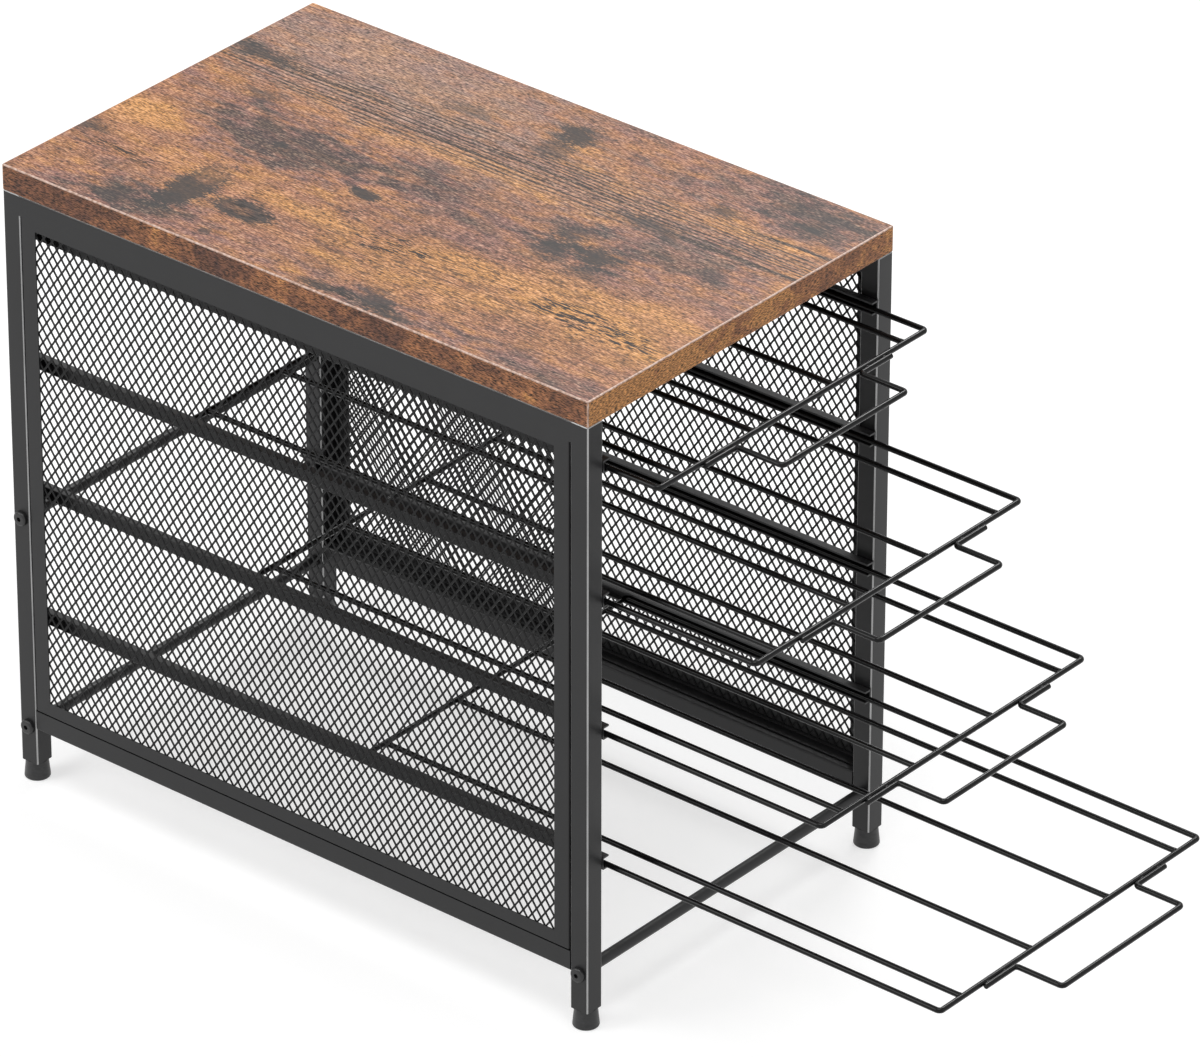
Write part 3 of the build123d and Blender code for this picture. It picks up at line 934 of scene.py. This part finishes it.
def make_foot(end):
    """Flared foot of the left side with a rounded lower edge and a plug in the tube."""
    low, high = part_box(f"{end}_left_foot")
    middle = (low + high) / 2
    bm = bmesh.new()
    bmesh.ops.create_cone(bm, cap_ends=True, segments=48, radius1=FOOT_BOTTOM_RADIUS,
                          radius2=FOOT_TOP_RADIUS, depth=FOOT_HEIGHT,
                          matrix=Matrix.Translation((middle.x, middle.y, low.z + FOOT_HEIGHT / 2)))
    lower = [f for f in bm.faces if f.normal.z < -FACING][0].edges[:]
    round_edges(bm, lower, FOOT_EDGE, 5)
    upper = [f for f in bm.faces if f.normal.z > FACING][0].edges[:]
    round_edges(bm, upper, FOOT_TOP_EDGE, 2)
    plug_bottom = low.z + FOOT_HEIGHT - PLUG_ROOT
    block(bm, (middle.x - PLUG_HALF_WIDTH, middle.y - PLUG_HALF_WIDTH, plug_bottom),
          (middle.x + PLUG_HALF_WIDTH, middle.y + PLUG_HALF_WIDTH, high.z))
    return bm


# The pieces

laminate = board_laminate()
tape = edge_band()
trim_and_lower_highlight = trimmed_edge_and_highlight()
tube_coat = powder_coat("charcoal_powder_coat", "#0E0E0F", "#1B1B1C", 0.42, specular=0.4)
# Painted highlight: a light grey, nearly metallic coat on the middle of the legs' rounded corners, on their
# broken top edges and on the top rails' upper outer corners.
corner_highlight_coat = powder_coat("powder_coat_painted_highlight_at_corners", "#888888", "#A6A6A6", 0.30, metallic=0.9)
sheet_coat = powder_coat("charcoal_coat_on_sheet", "#0F0F10", "#1C1C1D", 0.45, specular=0.4)
net_coat = powder_coat("black_coat_on_expanded_metal", "#070708", "#101011", 0.45, specular=0.2)
runner_coat = powder_coat("black_coat_on_channel", "#111112", "#1E1E1F", 0.42)
wire_coat = powder_coat("gloss_black_coat_on_wire", "#050505", "#0B0B0C", 0.20, peel=0.8, specular=0.2)
bolt_black = powder_coat("black_oxide_steel", "#121213", "#222223", 0.36, peel=0.4)
plastic = moulded_plastic()
zinc = zinc_plate()

finish_piece("board", make_board(), [laminate, tape, trim_and_lower_highlight], "stand", ["top_board"])
for side in SIDES:
    mirrored = side == "right"
    for end in ENDS:
        finish_piece(f"leg_{end}_{side}", make_leg(end), [tube_coat, corner_highlight_coat], "stand",
                     [f"{end}_{side}_leg"], mirrored)
        finish_piece(f"foot_{end}_{side}", make_foot(end), [plastic], "stand",
                     [f"{end}_{side}_foot"], mirrored)
    finish_piece(f"top_rail_{side}", make_top_rail(), [tube_coat, corner_highlight_coat], "stand",
                 [f"{side}_top_rail"], mirrored)
    finish_piece(f"bottom_rail_{side}", make_bottom_rail(), [tube_coat], "stand",
                 [f"{side}_bottom_rail"], mirrored)
    finish_piece(f"panel_frame_{side}", make_panel_frame(), [sheet_coat], "stand",
                 [f"{side}_panel_frame"], mirrored)
    finish_piece(f"net_{side}", make_net(), [net_coat], "stand",
                 [f"{side}_panel_net"], mirrored)
    for number in DRAWERS:
        finish_piece(f"runner_{side}_{number}", make_runner(number), [runner_coat], "stand",
                     [f"{side}_runner_{number}"], mirrored)
for rod in RODS:
    finish_piece(f"rod_{rod[:-4]}", make_rod(rod), [tube_coat], "stand", [rod])
finish_piece("bolts", make_bolts(), [bolt_black], "stand", ["rod_bolts"])
for number in DRAWERS:
    body = f"drawer_{number}"
    finish_piece(f"loop_{number}", make_loop(number), [wire_coat], body, [f"{body}_loop"])
    finish_piece(f"slot_wires_{number}", make_slot_wires(number), [wire_coat], body,
                 [f"{body}_slot_wires"])
    finish_piece(f"handle_{number}", make_handle(number), [wire_coat], body,
                 [f"{body}_handle"])
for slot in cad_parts["board_screws"].material_slots:
    slot.material = zinc


# Stage, light and view


def rays_of_kinds(tree, *kinds):
    """1 for rays of any of these kinds, 0 for all others."""
    rays = add(tree, "ShaderNodeLightPath")
    found = rays.outputs[kinds[0]]
    for kind in kinds[1:]:
        either = add(tree, "ShaderNodeMath", {0: found, 1: rays.outputs[kind]}, operation="MAXIMUM")
        found = either.outputs[0]
    return found


def make_floor():
    """Pale floor that keeps the shadow, nearly white to the camera, clear from below."""
    bm = bmesh.new()
    bmesh.ops.create_grid(bm, x_segments=1, y_segments=1, size=FLOOR_HALF_WIDTH)
    mesh = bpy.data.meshes.new("floor")
    bm.to_mesh(mesh)
    bm.free()
    floor = bpy.data.objects.new("floor", mesh)
    floor.location.z = -FLOOR_DROP
    bpy.context.scene.collection.objects.link(floor)
    material = bpy.data.materials.new("pale_floor")
    material.use_nodes = True
    tree = material.node_tree
    tree.nodes.clear()
    seen = rays_of_kinds(tree, "Is Camera Ray", "Is Glossy Ray")
    lift = add(tree, "ShaderNodeMath", {0: seen, 1: FLOOR_GLOW}, operation="MULTIPLY")
    matt = add(tree, "ShaderNodeBsdfDiffuse", {"Color": (FLOOR_GREY, FLOOR_GREY, FLOOR_GREY, 1)})
    glow = add(tree, "ShaderNodeEmission", {"Color": (1, 1, 1, 1), "Strength": lift.outputs[0]})
    lit = add(tree, "ShaderNodeAddShader", {0: matt.outputs[0], 1: glow.outputs[0]})
    clear = add(tree, "ShaderNodeBsdfTransparent")
    side = add(tree, "ShaderNodeNewGeometry")
    surface = add(tree, "ShaderNodeMixShader", {
        0: side.outputs["Backfacing"], 1: lit.outputs[0], 2: clear.outputs[0],
    })
    add(tree, "ShaderNodeOutputMaterial", {"Surface": surface.outputs[0]})
    mesh.materials.append(material)


def make_world():
    """Soft even light, with white wherever the background is seen or mirrored."""
    world = bpy.data.worlds.new("studio")
    world.use_nodes = True
    tree = world.node_tree
    tree.nodes.clear()
    seen = rays_of_kinds(tree, "Is Camera Ray", "Is Glossy Ray", "Is Transmission Ray")
    strength = add(tree, "ShaderNodeMapRange", {
        "Value": seen, "To Min": BACKGROUND_LIGHT, "To Max": 1.0,
    })
    background = add(tree, "ShaderNodeBackground", {
        "Color": (1, 1, 1, 1), "Strength": strength.outputs[0],
    })
    add(tree, "ShaderNodeOutputWorld", {"Surface": background.outputs[0]})
    bpy.context.scene.world = world


def softbox(name, place, aim, width, height, power):
    """Rectangular soft lamp that the camera doesn't see, in metres and watts."""
    data = bpy.data.lights.new(name, "AREA")
    data.shape = "RECTANGLE"
    data.size = width
    data.size_y = height
    data.energy = power
    lamp = bpy.data.objects.new(name, data)
    lamp.location = place
    lamp.rotation_mode = "QUATERNION"
    lamp.rotation_quaternion = (Vector(aim) - Vector(place)).to_track_quat("-Z", "Y")
    lamp.visible_camera = False
    bpy.context.scene.collection.objects.link(lamp)


def make_camera():
    """Camera at the photograph's place and angle."""
    forward = Vector((math.sin(CAMERA_YAW) * math.cos(CAMERA_PITCH),
                      math.cos(CAMERA_YAW) * math.cos(CAMERA_PITCH), -math.sin(CAMERA_PITCH)))
    level = Vector((math.cos(CAMERA_YAW), -math.sin(CAMERA_YAW), 0))
    down = forward.cross(level)
    right = level * math.cos(CAMERA_ROLL) + down * math.sin(CAMERA_ROLL)
    up = level * math.sin(CAMERA_ROLL) - down * math.cos(CAMERA_ROLL)
    data = bpy.data.cameras.new("camera")
    data.lens = CAMERA_LENS
    data.sensor_width = 36.0
    data.sensor_fit = "HORIZONTAL"
    data.clip_end = 100.0
    camera = bpy.data.objects.new("camera", data)
    turn = Matrix((right, up, -forward)).transposed().to_4x4()
    camera.matrix_world = Matrix.Translation(CAMERA_PLACE) @ turn
    bpy.context.scene.collection.objects.link(camera)
    bpy.context.scene.camera = camera


make_floor()
make_world()
softbox("top_softbox", (-0.5, -0.3, 2.2), (0, 0.1, 0.15), width=1.1, height=0.9, power=16.0)
softbox("left_softbox", (-1.9, 1.4, 1.5), (0, 0.1, 0.15), width=1.1, height=1.2, power=17.0)
softbox("front_softbox", (0.4, -2.2, 1.0), (0, 0.0, 0.15), width=1.0, height=0.7, power=3.0)
softbox("right_softbox", (1.48, 0.55, 1.7), (0, 0.0, 0.15), width=0.7, height=0.45, power=14.0)
make_camera()
bpy.context.scene.view_settings.view_transform = "Standard"
